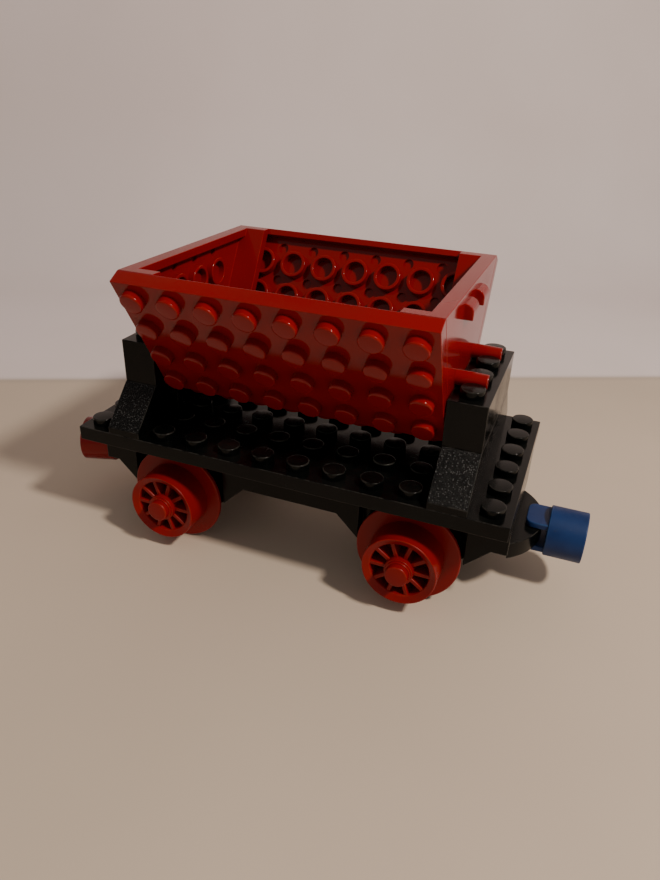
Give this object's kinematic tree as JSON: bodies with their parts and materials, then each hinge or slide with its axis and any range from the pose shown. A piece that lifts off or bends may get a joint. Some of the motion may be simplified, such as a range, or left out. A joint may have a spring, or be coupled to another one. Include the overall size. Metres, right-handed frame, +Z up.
{
  "type": "tipping wagon",
  "caption": "Toy tipping wagon of stud-and-tube bricks: a sloped hopper on pivot bars tips to either side above a low deck on spoked wheels, with swivelling magnetic couplers.",
  "frame": {"origin": "on the floor under the middle of the deck", "axes": "+X along the wagon towards the front (blue) coupler, +Y to the wagon's left, +Z up"},
  "size_m": [0.1248, 0.0566, 0.0653],
  "materials": {
    "black_plastic": "glossy black ABS, dusty, with pale worn edges",
    "red_plastic": "high-gloss red ABS",
    "red_wheel_plastic": "satin red plastic",
    "blue_plastic": "scuffed satin blue plastic",
    "axle_steel": "drawn steel rod",
    "magnet": "dark sintered ferrite"
  },
  "bodies": {
    "chassis": {"deck_plate": "black_plastic", "chassis_frame": "black_plastic", "front_axle_carrier": "black_plastic", "rear_axle_carrier": "black_plastic", "front_coupling_bar": "black_plastic", "rear_coupling_bar": "black_plastic", "front_left_slope": "black_plastic", "front_right_slope": "black_plastic", "rear_left_slope": "black_plastic", "rear_right_slope": "black_plastic", "front_centre_brick": "black_plastic", "rear_centre_brick": "black_plastic", "front_top_brick": "black_plastic", "rear_top_brick": "black_plastic"},
    "front_wheelset": {"front_axle": "axle_steel", "front_left_wheel": "red_wheel_plastic", "front_right_wheel": "red_wheel_plastic"},
    "rear_wheelset": {"rear_axle": "axle_steel", "rear_left_wheel": "red_wheel_plastic", "rear_right_wheel": "red_wheel_plastic"},
    "front_coupler": {"front_coupler_case": "blue_plastic", "front_coupler_magnet": "magnet", "front_coupler_pin": "blue_plastic"},
    "rear_coupler": {"rear_coupler_case": "red_plastic", "rear_coupler_magnet": "magnet", "rear_coupler_pin": "red_plastic"},
    "tipping_link": {"left_pivot_pins": "red_plastic"},
    "bucket": {"bucket_floor": "red_plastic", "bucket_left_wall": "red_plastic", "bucket_right_wall": "red_plastic", "bucket_front_end": "red_plastic", "bucket_rear_end": "red_plastic"}
  },
  "joints": [
    {"name": "front_wheelset_roll", "type": "hinge", "parent": "chassis", "child": "front_wheelset", "pos_m": [0.028, 0, 0.0113], "axis": [0, 1, 0], "continuous": true},
    {"name": "rear_wheelset_roll", "type": "hinge", "parent": "chassis", "child": "rear_wheelset", "pos_m": [-0.028, 0, 0.0113], "axis": [0, 1, 0], "continuous": true},
    {"name": "front_coupler_swing", "type": "hinge", "parent": "chassis", "child": "front_coupler", "pos_m": [0.039, 0, 0.014], "axis": [0, 0, 1], "range_deg": [-20, 20]},
    {"name": "rear_coupler_swing", "type": "hinge", "parent": "chassis", "child": "rear_coupler", "pos_m": [-0.039, 0, 0.014], "axis": [0, 0, 1], "range_deg": [-38, 2]},
    {"name": "tip_right", "type": "hinge", "parent": "chassis", "child": "tipping_link", "pos_m": [0, -0.008, 0.0487], "axis": [1, 0, 0], "range_deg": [0, 80]},
    {"name": "tip_left", "type": "hinge", "parent": "tipping_link", "child": "bucket", "pos_m": [0, 0.008, 0.0487], "axis": [1, 0, 0], "range_deg": [-80, 0]}
  ]
}
